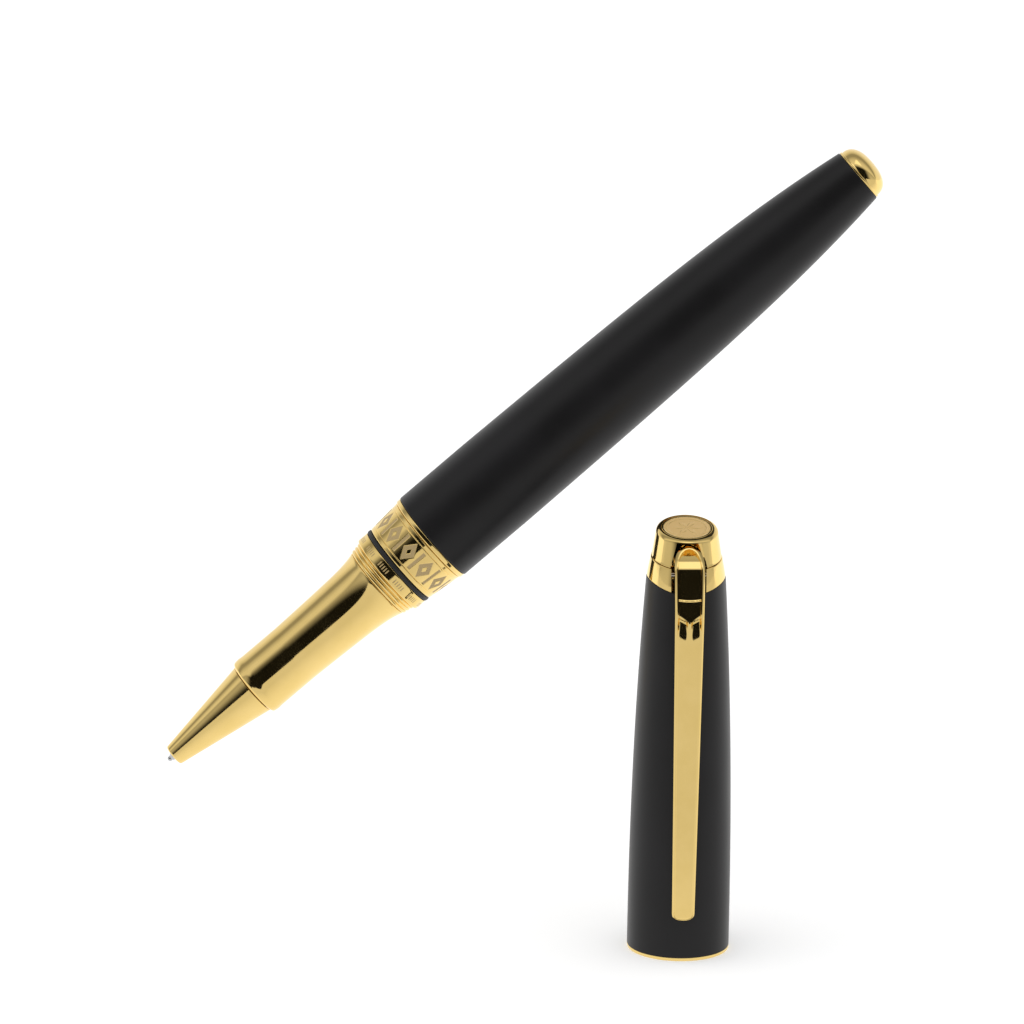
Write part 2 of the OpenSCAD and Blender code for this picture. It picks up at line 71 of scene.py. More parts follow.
# ---- Places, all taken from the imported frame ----

PEN_AXIS = Vector(JOINTS["barrel_turn"]["axis"]).normalized()
PEN_POINT = Vector(JOINTS["barrel_turn"]["pos_m"])


def along_pen(node):
    """Where a CAD node starts and ends along the pen's axis, from the grip's origin."""
    reach = [(v.co - PEN_POINT).dot(PEN_AXIS) for v in frame["nodes"][node].data.vertices]
    return min(reach), max(reach)


# The pen's own frame: z runs back from the nozzle's front, and -y faces the viewer.
pen_back = Vector((0, 1, 0)) - PEN_AXIS * PEN_AXIS.y
pen_back.normalize()
pen_side = pen_back.cross(PEN_AXIS)
pen_front = PEN_POINT + PEN_AXIS * along_pen("nozzle")[0]
PEN = Matrix((pen_side, pen_back, PEN_AXIS)).transposed().to_4x4()
PEN.translation = pen_front

# The cap's own frame: z runs up from its mouth, and -y faces the clip.
mouth_low, mouth_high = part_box("cap_mouth_ring")
cap_side = -Vector(JOINTS["clip_hinge"]["axis"]).normalized()
cap_back = Vector((0, 0, 1)).cross(cap_side)
CAP = Matrix((cap_side, cap_back, Vector((0, 0, 1)))).transposed().to_4x4()
CAP.translation = Vector(((mouth_low.x + mouth_high.x) / 2, (mouth_low.y + mouth_high.y) / 2, mouth_low.z))


# ---- Camera, stage and light ----


def make_camera():
    pitch, roll, yaw = math.radians(14.35), math.radians(0.91), math.radians(0.31)
    ahead = Vector((math.sin(yaw) * math.cos(pitch), math.cos(yaw) * math.cos(pitch), -math.sin(pitch)))
    right = Vector((math.cos(yaw), -math.sin(yaw), 0))
    up = right.cross(ahead)
    level_right = right * math.cos(roll) + up * math.sin(roll)
    level_up = up * math.cos(roll) - right * math.sin(roll)
    data = bpy.data.cameras.new("camera")
    data.sensor_width = 36
    data.lens = 36 * 6500 / 1024
    data.clip_start, data.clip_end = 0.05, 20
    camera = bpy.data.objects.new("camera", data)
    turn = Matrix((level_right, level_up, -ahead)).transposed().to_4x4()
    turn.translation = CAP.translation + Vector((-26.79, -805.09, 263.84)) * MM
    camera.matrix_world = turn
    bpy.context.scene.collection.objects.link(camera)
    bpy.context.scene.camera = camera


def node_tree(owner):
    owner.use_nodes = True
    owner.node_tree.nodes.clear()
    return owner.node_tree


def math_node(tree, kind, a, b=None, clamp=False):
    node = tree.nodes.new("ShaderNodeMath")
    node.operation = kind
    node.use_clamp = clamp
    for i, value in enumerate((a, b)):
        if value is None:
            continue
        if isinstance(value, (int, float)):
            node.inputs[i].default_value = value
        else:
            tree.links.new(value, node.inputs[i])
    return node.outputs[0]


def map_range(tree, value, from_low, from_high, to_low, to_high, smooth=False):
    node = tree.nodes.new("ShaderNodeMapRange")
    node.interpolation_type = "SMOOTHSTEP" if smooth else "LINEAR"
    tree.links.new(value, node.inputs["Value"])
    for name, number in (
        ("From Min", from_low),
        ("From Max", from_high),
        ("To Min", to_low),
        ("To Max", to_high),
    ):
        node.inputs[name].default_value = number
    return node.outputs["Result"]


def make_world():
    """A white studio, in which shiny surfaces see a dark opening in front and a dimmer roof behind it."""
    world = bpy.data.worlds.new("studio")
    bpy.context.scene.world = world
    tree = node_tree(world)
    place = tree.nodes.new("ShaderNodeTexCoord")
    split = tree.nodes.new("ShaderNodeSeparateXYZ")
    tree.links.new(place.outputs["Generated"], split.inputs[0])
    x, y, z = split.outputs
    front = math_node(tree, "MULTIPLY", y, -1)
    height = math_node(tree, "MULTIPLY", math_node(tree, "ARCTAN2", z, front), 180 / math.pi)
    turned_by = math_node(tree, "ARCTAN2", x, front)
    around = math_node(tree, "ABSOLUTE", math_node(tree, "MULTIPLY", turned_by, 180 / math.pi))
    ramp = tree.nodes.new("ShaderNodeValToRGB")
    tree.links.new(map_range(tree, height, -180, 180, 0, 1), ramp.inputs[0])
    stops = [(-180, 0.95), (-60, 0.65), (0, 0.6), (46, 0.4), (57, 0.72), (72, 0.72), (88, 0.56)]
    stops += [(104, 0.32), (118, 0.32), (132, 0.65), (150, 0.88), (180, 0.95)]
    elements = ramp.color_ramp.elements
    for angle, level in stops[1:-1]:
        elements.new((angle + 180) / 360)
    for element, (angle, level) in zip(elements, stops):
        element.color = (level, level, level, 1)
    strip = math_node(
        tree,
        "MULTIPLY",
        math_node(
            tree,
            "MULTIPLY",
            map_range(tree, height, 56, 62, 0, 0.6, True),
            map_range(tree, height, 82, 88, 1, 0, True),
        ),
        map_range(tree, around, 25, 42, 1, 0, True),
    )
    roof = math_node(tree, "ADD", math_node(tree, "MULTIPLY", ramp.outputs[0], 1.28), strip)
    opening = math_node(
        tree,
        "MULTIPLY",
        math_node(
            tree,
            "MULTIPLY",
            map_range(tree, height, -10, -8, 0, 1, True),
            map_range(tree, height, 40, 52, 1, 0, True),
        ),
        map_range(tree, around, 30, 60, 1, 0, True),
    )
    shut = math_node(tree, "SUBTRACT", 1, math_node(tree, "MULTIPLY", opening, 0.985))
    lit = math_node(tree, "MULTIPLY", roof, shut)
    path = tree.nodes.new("ShaderNodeLightPath")
    seen = tree.nodes.new("ShaderNodeMix")
    seen.data_type = "FLOAT"
    tree.links.new(path.outputs["Is Glossy Ray"], seen.inputs[0])
    seen.inputs[2].default_value = 1.22
    tree.links.new(lit, seen.inputs[3])
    shine = tree.nodes.new("ShaderNodeBackground")
    tree.links.new(seen.outputs[0], shine.inputs["Strength"])
    out = tree.nodes.new("ShaderNodeOutputWorld")
    tree.links.new(shine.outputs[0], out.inputs[0])


def make_floor():
    """A plain white table that glows as well as being lit: an even painted glow straight on, and in the
    metal's reflections only a painted glow, a little dimmer than straight on and dimmer still towards the
    front.
    """
    size, front = 4.0, -0.64
    mesh = bpy.data.meshes.new("floor")
    z = cad_low.z
    corners = [(-size, front, z), (size, front, z), (size, size, z), (-size, size, z)]
    mesh.from_pydata(corners, [], [(0, 1, 2, 3)])
    floor = bpy.data.objects.new("floor", mesh)
    bpy.context.scene.collection.objects.link(floor)
    material = bpy.data.materials.new("white_table")
    tree = node_tree(material)
    matt = tree.nodes.new("ShaderNodeBsdfDiffuse")
    matt.inputs["Color"].default_value = (0.9, 0.9, 0.9, 1)
    glow = tree.nodes.new("ShaderNodeEmission")
    glow.inputs["Color"].default_value = (1, 0.995, 0.985, 1)
    spot = tree.nodes.new("ShaderNodeTexCoord")
    split = tree.nodes.new("ShaderNodeSeparateXYZ")
    tree.links.new(spot.outputs["Object"], split.inputs[0])
    # painted light: the glow the metal reflects rises from 0.74 at the front of the table to 1.2 at the back
    tree.links.new(map_range(tree, split.outputs[1], -0.1, 0.07, 0.74, 1.2, True), glow.inputs["Strength"])
    # painted light: an even glow added to the lit white, so the table reads pure white straight on
    lift = tree.nodes.new("ShaderNodeEmission")
    lift.inputs["Strength"].default_value = 0.2
    plain = tree.nodes.new("ShaderNodeAddShader")
    tree.links.new(matt.outputs[0], plain.inputs[0])
    tree.links.new(lift.outputs[0], plain.inputs[1])
    path = tree.nodes.new("ShaderNodeLightPath")
    mix = tree.nodes.new("ShaderNodeMixShader")
    tree.links.new(path.outputs["Is Glossy Ray"], mix.inputs[0])
    tree.links.new(plain.outputs[0], mix.inputs[1])
    tree.links.new(glow.outputs[0], mix.inputs[2])
    out = tree.nodes.new("ShaderNodeOutputMaterial")
    tree.links.new(mix.outputs[0], out.inputs[0])
    mesh.materials.append(material)


def make_lamp():
    """One large soft lamp above and to the left."""
    data = bpy.data.lights.new("softbox", "AREA")
    data.shape = "RECTANGLE"
    data.size, data.size_y = 0.9, 0.7
    data.energy = 1.2
    lamp = bpy.data.objects.new("softbox", data)
    bpy.context.scene.collection.objects.link(lamp)
    lamp.location = (-0.5, -0.1, 0.9)
    lamp.rotation_mode = "QUATERNION"
    lamp.rotation_quaternion = (-Vector(lamp.location)).to_track_quat("-Z", "Y")
    lamp.visible_camera = False
    lamp.visible_glossy = False


# ---- Materials ----


def surface(name, colour, metallic, roughness):
    material = bpy.data.materials.new(name)
    tree = node_tree(material)
    shader = tree.nodes.new("ShaderNodeBsdfPrincipled")
    shader.inputs["Base Color"].default_value = (*colour, 1)
    shader.inputs["Metallic"].default_value = metallic
    shader.inputs["Roughness"].default_value = roughness
    out = tree.nodes.new("ShaderNodeOutputMaterial")
    tree.links.new(shader.outputs[0], out.inputs[0])
    place = tree.nodes.new("ShaderNodeTexCoord")
    return material, tree, shader, place.outputs["Object"]


def noise(tree, place, scale, detail=3.0, rough=0.55, stretch=None):
    """A noise value from 0 to 1. stretch is a matrix that turns and scales the place first."""
    if stretch is not None:
        mapping = tree.nodes.new("ShaderNodeMapping")
        tree.links.new(place, mapping.inputs["Vector"])
        mapping.inputs["Rotation"].default_value = stretch[0]
        mapping.inputs["Scale"].default_value = stretch[1]
        place = mapping.outputs[0]
    node = tree.nodes.new("ShaderNodeTexNoise")
    tree.links.new(place, node.inputs["Vector"])
    node.inputs["Scale"].default_value = scale
    node.inputs["Detail"].default_value = detail
    node.inputs["Roughness"].default_value = rough
    return node.outputs[0]


def tint(tree, value, low, high, shader):
    """Base colour between two shades as value goes from 0.3 to 0.7."""
    ramp = tree.nodes.new("ShaderNodeValToRGB")
    tree.links.new(value, ramp.inputs[0])
    ramp.color_ramp.elements[0].position, ramp.color_ramp.elements[1].position = 0.3, 0.7
    ramp.color_ramp.elements[0].color = (*low, 1)
    ramp.color_ramp.elements[1].color = (*high, 1)
    tree.links.new(ramp.outputs[0], shader.inputs["Base Color"])


def bumps(tree, value, shader, strength, depth):
    node = tree.nodes.new("ShaderNodeBump")
    node.inputs["Strength"].default_value = strength
    node.inputs["Distance"].default_value = depth
    tree.links.new(value, node.inputs["Height"])
    tree.links.new(node.outputs[0], shader.inputs["Normal"])


def rings_about(tree, place, axis, scale):
    """Noise that changes only along an axis, as turning on a lathe leaves it."""
    dot = tree.nodes.new("ShaderNodeVectorMath")
    dot.operation = "DOT_PRODUCT"
    tree.links.new(place, dot.inputs[0])
    dot.inputs[1].default_value = axis
    node = tree.nodes.new("ShaderNodeTexNoise")
    node.noise_dimensions = "1D"
    tree.links.new(dot.outputs["Value"], node.inputs["W"])
    node.inputs["Scale"].default_value = scale
    node.inputs["Detail"].default_value = 4
    return node.outputs[0]


def gilt(name, axis, frosted=None):
    """Polished gold plate with faint polishing lines and smears, frosted where the mesh says so."""
    material, tree, shader, place = surface(name, (0.93, 0.68, 0.26), 1.0, 0.06)
    smear = noise(tree, place, 260, 3)
    tint(tree, smear, (0.90, 0.655, 0.235), (0.95, 0.70, 0.27), shader)
    lines = rings_about(tree, place, axis, 9000)
    rough = math_node(
        tree,
        "ADD",
        map_range(tree, smear, 0.35, 0.7, 0.035, 0.085),
        map_range(tree, lines, 0.4, 0.75, 0.0, 0.05),
    )
    if frosted:
        mask = tree.nodes.new("ShaderNodeAttribute")
        mask.attribute_name = "frost"
        rough = math_node(tree, "ADD", rough, math_node(tree, "MULTIPLY", mask.outputs["Fac"], 0.36))
        metal = math_node(tree, "SUBTRACT", 1, math_node(tree, "MULTIPLY", mask.outputs["Fac"], 0.85))
        tree.links.new(metal, shader.inputs["Metallic"])
        dull = tree.nodes.new("ShaderNodeMix")
        dull.data_type = "RGBA"
        tree.links.new(mask.outputs["Fac"], dull.inputs[0])
        tree.links.new(shader.inputs["Base Color"].links[0].from_socket, dull.inputs[6])
        dull.inputs[7].default_value = (*frosted, 1)
        tree.links.new(dull.outputs[2], shader.inputs["Base Color"])
    tree.links.new(rough, shader.inputs["Roughness"])
    bumps(tree, lines, shader, 0.05, 0.00001)
    return material


def lacquer(name):
    """Satin black lacquer with a very fine grain."""
    material, tree, shader, place = surface(name, (0.0075, 0.007, 0.0075), 0.0, 0.4)
    cloud = noise(tree, place, 90, 4)
    tint(tree, cloud, (0.006, 0.0056, 0.0058), (0.0092, 0.0086, 0.0095), shader)
    grain = noise(tree, place, 9000, 2, 0.6)
    tree.links.new(
        math_node(
            tree,
            "ADD",
            map_range(tree, cloud, 0.3, 0.7, 0.36, 0.42),
            map_range(tree, grain, 0.3, 0.7, -0.03, 0.03),
        ),
        shader.inputs["Roughness"],
    )
    shader.inputs["Specular IOR Level"].default_value = 0.3
    bumps(tree, grain, shader, 0.12, 0.00002)
    return material


def turned(name, colour, roughness, axis):
    """Bare metal with turning lines round an axis."""
    material, tree, shader, place = surface(name, colour, 1.0, roughness)
    lines = rings_about(tree, place, axis, 12000)
    tint(tree, lines, tuple(c * 0.86 for c in colour), colour, shader)
    uneven = map_range(tree, lines, 0.3, 0.7, roughness - 0.07, roughness + 0.09)
    tree.links.new(uneven, shader.inputs["Roughness"])
    bumps(tree, lines, shader, 0.25, 0.00001)
    return material


def moulded(name, colour, roughness, scale=5000.0):
    """Moulded plastic or rubber with a fine texture."""
    material, tree, shader, place = surface(name, colour, 0.0, roughness)
    grain = noise(tree, place, scale, 3)
    tint(tree, grain, tuple(c * 0.88 for c in colour), colour, shader)
    uneven = map_range(tree, grain, 0.3, 0.7, roughness - 0.06, roughness + 0.06)
    tree.links.new(uneven, shader.inputs["Roughness"])
    bumps(tree, grain, shader, 0.15, 0.00003)
    return material


# ---- Mesh building ----


def make_mesh(name, points, faces, place, sharp=None):
    """A piece from points in mm in the pen's or the cap's frame."""
    mesh = bpy.data.meshes.new(name)
    world = [place @ (Vector(p) * MM) for p in points]
    mesh.from_pydata(world, [], faces)
    mesh.validate()
    mesh.polygons.foreach_set("use_smooth", [True] * len(mesh.polygons))
    if sharp:
        mesh.set_sharp_from_angle(angle=math.radians(sharp))
    piece = bpy.data.objects.new(name, mesh)
    bpy.context.scene.collection.objects.link(piece)
    return piece


def finish_piece(piece, body, slot, material, *nodes):
    piece.data.materials.clear()
    piece.data.materials.append(material)
    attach(piece, body)
    if nodes:
        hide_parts(*nodes)
    return piece


def rounded(corners, steps=6):
    """A closed outline of corners (radius, height, fillet), each one rounded off by an arc."""
    out = []
    count = len(corners)
    for i, (r, z, fillet) in enumerate(corners):
        here = np.array([r, z], float)
        to_last = np.array(corners[i - 1][:2], float) - here
        to_next = np.array(corners[(i + 1) % count][:2], float) - here
        if fillet <= 0:
            out.append((r, z))
            continue
        last_len, next_len = np.linalg.norm(to_last), np.linalg.norm(to_next)
        to_last, to_next = to_last / last_len, to_next / next_len
        half = math.acos(float(np.clip(to_last @ to_next, -1, 1))) / 2
        reach = min(fillet / math.tan(half), 0.42 * last_len, 0.42 * next_len)
        radius = reach * math.tan(half)
        middle = to_last + to_next
        centre = here + middle / np.linalg.norm(middle) * radius / math.sin(half)
        start, end = here + to_last * reach, here + to_next * reach
        a0 = math.atan2(*(start - centre)[::-1])
        a1 = math.atan2(*(end - centre)[::-1])
        sweep = (a1 - a0 + math.pi) % (2 * math.pi) - math.pi
        out.append(tuple(here + to_last * reach * 1.15))
        for k in range(steps + 1):
            a = a0 + sweep * k / steps
            out.append((centre[0] + radius * math.cos(a), centre[1] + radius * math.sin(a)))
        out.append(tuple(here + to_next * reach * 1.15))
    return out


def lathe(name, outline, place, sides=160, closed=True):
    """Turns an outline of (radius, height), which runs anticlockwise in that plane, about the z axis."""
    points, rings = [], []
    for r, z in outline:
        if r < 1e-6:
            rings.append([len(points)] * sides)
            points.append((0, 0, z))
        else:
            rings.append(list(range(len(points), len(points) + sides)))
            points += [
                (r * math.cos(2 * math.pi * k / sides), r * math.sin(2 * math.pi * k / sides), z)
                for k in range(sides)
            ]
    faces = []
    pairs = list(zip(rings, rings[1:] + rings[:1])) if closed else list(zip(rings, rings[1:]))
    for low, high in pairs:
        for k in range(sides):
            n = (k + 1) % sides
            corner = [low[k], low[n], high[n], high[k]]
            face = [c for i, c in enumerate(corner) if c != corner[i - 1]]
            if len(face) > 2:
                faces.append(face)
    return make_mesh(name, points, faces, place)


def cut(piece, points, faces, place):
    """Takes a closed shape, given in mm, out of a piece."""
    tool = make_mesh("cutter", points, faces, place)
    change = piece.modifiers.new("cut", "BOOLEAN")
    change.operation, change.solver, change.object = "DIFFERENCE", "EXACT", tool
    bpy.context.view_layer.update()
    result = bpy.data.meshes.new_from_object(piece.evaluated_get(bpy.context.evaluated_depsgraph_get()))
    piece.modifiers.clear()
    piece.data = result
    bpy.data.objects.remove(tool)
    result.polygons.foreach_set("use_smooth", [True] * len(result.polygons))
    result.set_sharp_from_angle(angle=math.radians(28))


def coil(name, start, axis, radius, wire, height, turns, sides=12):
    """Round wire in a helix with closed ends, from a point along an axis."""
    axis = axis.normalized()
    across = axis.orthogonal().normalized()
    other = axis.cross(across)
    steps = int(28 * turns)
    rise = height - 2 * wire
    points, faces = [], []
    for i in range(steps + 1):
        share = i / steps
        eased = share + math.sin(4 * math.pi * share) / (4 * math.pi) * -0.35
        turn = 2 * math.pi * turns * share
        out = across * math.cos(turn) + other * math.sin(turn)
        for j in range(sides):
            a = 2 * math.pi * j / sides
            rolled = out * (radius + wire * math.cos(a)) + axis * (wire + rise * eased + wire * math.sin(a))
            spot = start + rolled * MM
            points.append(tuple(spot / MM))
    for i in range(steps):
        for j in range(sides):
            n = (j + 1) % sides
            faces.append([i * sides + j, i * sides + n, (i + 1) * sides + n, (i + 1) * sides + j])
    faces.append(list(range(sides))[::-1])
    faces.append([steps * sides + j for j in range(sides)])
    return make_mesh(name, points, faces, Matrix.Identity(4), sharp=50)


# ---- Sizes in mm, as in the CAD ----

GAP = 0.03
NOZZLE, GRIP_Z, SPIGOT_Z = 13.8, 13.9, 17.5
RIB_Z, SHOULDER_Z, SEAL_Z, SECTION = 35.5, 37.1, 38.75, 39.4
BAND_Z, BAND_H = 39.45, 4.8
TRIM_Z, TUBE_Z, TAPER_Z, TAIL_Z = 44.3, 45.0, 56.0, 118.1
BARREL_R, TAIL_R = 6.55, 3.8
CAP_LEN, CAP_R, CAP_TOP_R = 56.2, 6.62, 5.1
COLLAR_Z, COLLAR_DIP, SEAM_Z = 49.85, 1.35, 52.6
SEAM_SLOPE, CROWN_SLOPE = (math.tan(math.radians(a)) for a in (11, 12))


def grip_r(z):
    t = min(max((z - 21.1) / 14.25, 0), 1)
    return 4.15 + 1.0 * (0.5 * t**1.1 + 0.5 * t**8)


def barrel_r(z):
    share = max(0, z - TAPER_Z) / (TAIL_Z - TAPER_Z)
    return BARREL_R - (BARREL_R - TAIL_R) * (0.28 * share**1.1 + 0.72 * share**4)


def cap_r(z):
    return CAP_R - (CAP_R - CAP_TOP_R) * (max(0, z) / COLLAR_Z) ** 2.3


def collar_r(z):
    return cap_r(z) - 0.064 * max(0, z - COLLAR_Z + 0.5) ** 1.4


def relief_ring(name, outline, mark, sides, depth):
    """A turned ring with a shallow frosted pattern, where mark(angle, height) goes from 0 to 1."""
    points, faces, frost = [], [], []
    for r, z in outline:
        for k in range(sides):
            a = 2 * math.pi * k / sides
            share = mark(a, z)
            points.append(((r - depth * share) * math.cos(a), (r - depth * share) * math.sin(a), z))
            frost.append(share)
    for i in range(len(outline)):
        low, high = i * sides, (i + 1) % len(outline) * sides
        for k in range(sides):
            n = (k + 1) % sides
            faces.append([low + k, low + n, high + n, high + k])
    ring = make_mesh(name, points, faces, PEN)
    ring.data.attributes.new("frost", "FLOAT", "POINT").data.foreach_set("value", frost)
    return ring


# ---- Pen ----


def make_section(gold, frosted, rubber):
    nozzle = rounded(
        [
            (0.89, 0.02, 0.1),
            (1.45, 0.02, 0.5),
            (3.65, NOZZLE - 0.04, 0.08),
            (3.58, NOZZLE, 0.02),
            (3.0, NOZZLE, 0),
            (3.0, SPIGOT_Z, 0.1),
            (2.4, SPIGOT_Z, 0.1),
            (2.4, 12.6, 0),
            (1.3, 11.9, 0),
            (1.3, 3.4, 0),
            (0.89, 3.4, 0),
        ]
    )
    finish_piece(lathe("nozzle_shell", nozzle, PEN, 192), "section", "gilt", gold, "nozzle")

    outline = [(3.03, GRIP_Z), (3.68, GRIP_Z)]
    for k in range(13):
        a = math.pi / 2 * k / 12
        outline.append((4.15 - 0.44 * (1 - math.sin(a)), GRIP_Z + 0.44 * (1 - math.cos(a))))
    outline += [
        (grip_r(z) + 0.05 * math.exp(-(((z - 14.85) / 0.4) ** 2)), z)
        for z in np.linspace(14.4, 16.2, 14)
    ]
    outline += [(grip_r(z), z) for z in np.linspace(16.4, RIB_Z - 0.2, 84)]
    outline += [(5.14, RIB_Z - 0.1), (5.1, RIB_Z - 0.03), (5.03, RIB_Z)]
    outline += [(3.63, RIB_Z), (3.63, SPIGOT_Z + GAP), (3.03, SPIGOT_Z + GAP)]
    finish_piece(lathe("grip_shell", outline, PEN, 192), "section", "gilt", gold, "grip_sleeve")

    outline = [(4.63, RIB_Z + 2 * GAP)]
    for z in np.linspace(RIB_Z + 2 * GAP, SHOULDER_Z - GAP, 120):
        base = 5.05 + 0.3 * (z - RIB_Z - 2 * GAP) / 1.51
        best = base
        for i in range(3):
            reach = 0.24**2 - (z - RIB_Z - (i + 0.52) * 1.6 / 3) ** 2
            if reach > 0:
                best = max(best, 5.05 + 0.1 * (i + 0.5) + math.sqrt(reach))
        outline.append((best, z))
    outline.append((4.63, SHOULDER_Z - GAP))
    finish_piece(lathe("rib_beads", outline, PEN, 160), "section", "gilt", gold, "rib_ring")

    top = SEAL_Z - GAP

    def ticks(a, z):
        step = a / (2 * math.pi) * 96
        if abs(z - SHOULDER_Z - 0.82) > 0.32 or int(step) % 8 in (5, 6, 7):
            return 0.0
        return 1.0 if abs(step % 1 - 0.5) < 0.22 else 0.0

    outline = [(4.63, SHOULDER_Z), (5.74, SHOULDER_Z), (5.83, SHOULDER_Z + 0.05), (5.88, SHOULDER_Z + 0.14)]
    outline += [(5.88, SHOULDER_Z + s) for s in (0.3, 0.48, 0.52, 0.66, 0.82, 0.98, 1.12, 1.16, 1.4)]
    outline += [(5.88, top - 0.07), (5.86, top - 0.02), (5.8, top), (4.63, top)]
    ring = relief_ring("shoulder_ring", outline, ticks, 768, 0.012)
    finish_piece(ring, "section", "gilt", frosted, "shoulder_band")

    end = SECTION - GAP
    outline = rounded([(5.18, SEAL_Z, 0), (5.92, SEAL_Z, 0.2), (5.92, end, 0.2), (5.18, end, 0)])
    finish_piece(lathe("seal_bead", outline, PEN, 160), "section", "black_rubber", rubber, "seal_ring")


def make_core(brass):
    """The inner core with its helical thread."""
    bore, neck, flange, crest, root = 3.1, 4.6, 5.15, 4.9, 4.68
    sides, points, faces, rings = 96, [], [], []

    def ring(r, z):
        rings.append(len(points))
        for k in range(sides):
            a = 2 * math.pi * k / sides
            radius = r(a, z) if callable(r) else r
            points.append((radius * math.cos(a), radius * math.sin(a), z))

    def thread(a, z):
        turn = (z - 45.4) - a / (2 * math.pi)
        tooth = abs((turn % 1) - 0.5) * 2
        ease = min(1, max(0, (z - 45.4) / 0.8), max(0, (52.5 - z) / 0.6))
        return root + (crest - root) * ease * min(1, max(0, 1.35 * tooth - 0.15))

    start, step = SPIGOT_Z + 2 * GAP, RIB_Z + GAP
    for r, z in ((bore, start), (3.6, start), (3.6, step), (neck, step), (neck, SEAL_Z), (flange, SEAL_Z)):
        ring(r, z)
    ring(flange, SECTION)
    ring(root, SECTION)
    for z in np.linspace(45.3, 52.6, 118):
        ring(thread, z)
    ring(4.5, 52.9)
    ring(bore, 52.9)
    for low, high in zip(rings, rings[1:] + rings[:1]):
        for k in range(sides):
            n = (k + 1) % sides
            faces.append([low + k, low + n, high + n, high + k])
    piece = make_mesh("core_thread", points, faces, PEN, sharp=35)
    finish_piece(piece, "section", "bare_brass", brass, "section_core")


def make_barrel(gold, frosted, black):
    # Collar band: two grooves and a row of frosted lozenges and bars between them
    rows, count = 84, 12
    front_r, rear_r = BARREL_R - 0.63, BARREL_R - 0.2

    def band_r(z):
        share = (z - BAND_Z) / BAND_H
        r = front_r + (rear_r - front_r) * share
        for groove in (0.13, 0.87):
            away = abs(share - groove) * BAND_H
            if away < 0.09:
                r -= 0.07 * (1 + math.cos(math.pi * away / 0.09)) / 2
        return r

    def pattern(a, z):
        up = abs(z - BAND_Z - BAND_H / 2)
        turn = a / (2 * math.pi) * count
        across = abs(turn % 1 - 0.5) * 2 * math.pi * 6.15 / count
        beside = abs((turn + 0.5) % 1 - 0.5) * 2 * math.pi * 6.15 / count
        outer = 1 - across / 1.08 - up / 1.6
        inner = 1 - across / 0.3 - up / 0.44
        bar = min(0.28 - beside, 1.5 - up)
        return min(max(min(outer * 9, -inner * 4), bar * 9, 0), 1)

    heights = sorted(
        [BAND_Z + BAND_H * s for s in np.linspace(0.03, 0.97, rows)]
        + [BAND_Z + g * BAND_H + o for g in (0.13, 0.87) for o in (-0.09, -0.05, 0, 0.05, 0.09)]
    )
    end = BAND_Z + BAND_H
    outline = [(5.43, BAND_Z), (front_r - 0.12, BAND_Z)]
    outline += [(front_r - 0.03, BAND_Z + 0.03), (front_r, BAND_Z + 0.12)]
    outline += [(band_r(z), z) for z in heights]
    outline += [(rear_r, end - 0.12), (rear_r - 0.03, end - 0.03), (rear_r - 0.12, end), (5.43, end)]
    band = relief_ring("band_relief", outline, pattern, 720, 0.035)
    finish_piece(band, "barrel", "gilt", frosted, "collar_band")

    top = TUBE_Z - GAP
    outline = rounded([(5.43, TRIM_Z, 0), (6.52, TRIM_Z, 0.18), (6.52, top, 0.18), (5.43, top, 0)])
    finish_piece(lathe("trim_bead", outline, PEN, 192), "barrel", "gilt", gold, "trim_ring")

    wall = 0.58
    outline = [(5.97, TUBE_Z), (6.47, TUBE_Z), (6.52, TUBE_Z + 0.02), (6.55, TUBE_Z + 0.09)]
    outline += [(barrel_r(z), z) for z in np.linspace(TUBE_Z + 0.3, TAIL_Z - 0.12, 130)]
    outline += [(barrel_r(TAIL_Z - 0.06) - 0.01, TAIL_Z - 0.05), (TAIL_R - 0.06, TAIL_Z)]
    outline += [(3.3, TAIL_Z), (3.3, 112.95)]
    outline += [(barrel_r(z) - wall, z) for z in np.linspace(112.9, TUBE_Z + 0.2, 30)]
    finish_piece(lathe("barrel_shell", outline, PEN, 192), "barrel", "black_lacquer", black, "barrel_tube")

    base = TAIL_Z + GAP
    outline = [(0, base - 2), (1, base - 2), (1, base), (3.67, base)]
    outline += [(3.73, base + 0.03), (3.75, base + 0.09)]
    outline += [(3.75, base + 0.22), (3.72, base + 0.28), (3.64, base + 0.3), (3.62, base + 0.31)]
    for k in range(26):
        a = math.pi / 2 * k / 25
        r = 3.61 * math.cos(a) ** 0.8 if k < 25 else 0
        outline.append((r, base + 0.32 + 2.23 * math.sin(a) ** 0.9))
    finish_piece(lathe("finial_dome", outline, PEN, 160, closed=False), "barrel", "gilt", gold, "finial")


def make_refill(steel):
    outline = [(0, -0.43), (0.24, -0.43), (0.4, -0.42), (0.44, -0.36), (0.8, 0.33), (0.8, 0.4), (0.8, 3.43)]
    outline += [(0.82, 3.46), (1.13, 3.74)]
    outline += [(1.15, 3.78), (1.15, 6.0), (0.7, 6.0), (0.7, 9.0), (0, 9.0)]
    tip = lathe("tip_cone", outline, PEN, 96, closed=False)
    tip.data.set_sharp_from_angle(angle=math.radians(25))
    finish_piece(tip, "refill", "steel", steel, "refill_tip")

    centre, r = -0.6, 0.35
    outline = [
        (r * math.sin(math.pi * k / 24) if 0 < k < 24 else 0, centre - r * math.cos(math.pi * k / 24))
        for k in range(25)
    ]
    polished = lathe("ball_polished", outline, PEN, 48, closed=False)
    finish_piece(polished, "ball", "steel", steel, "writing_ball")


# ---- Cap ----


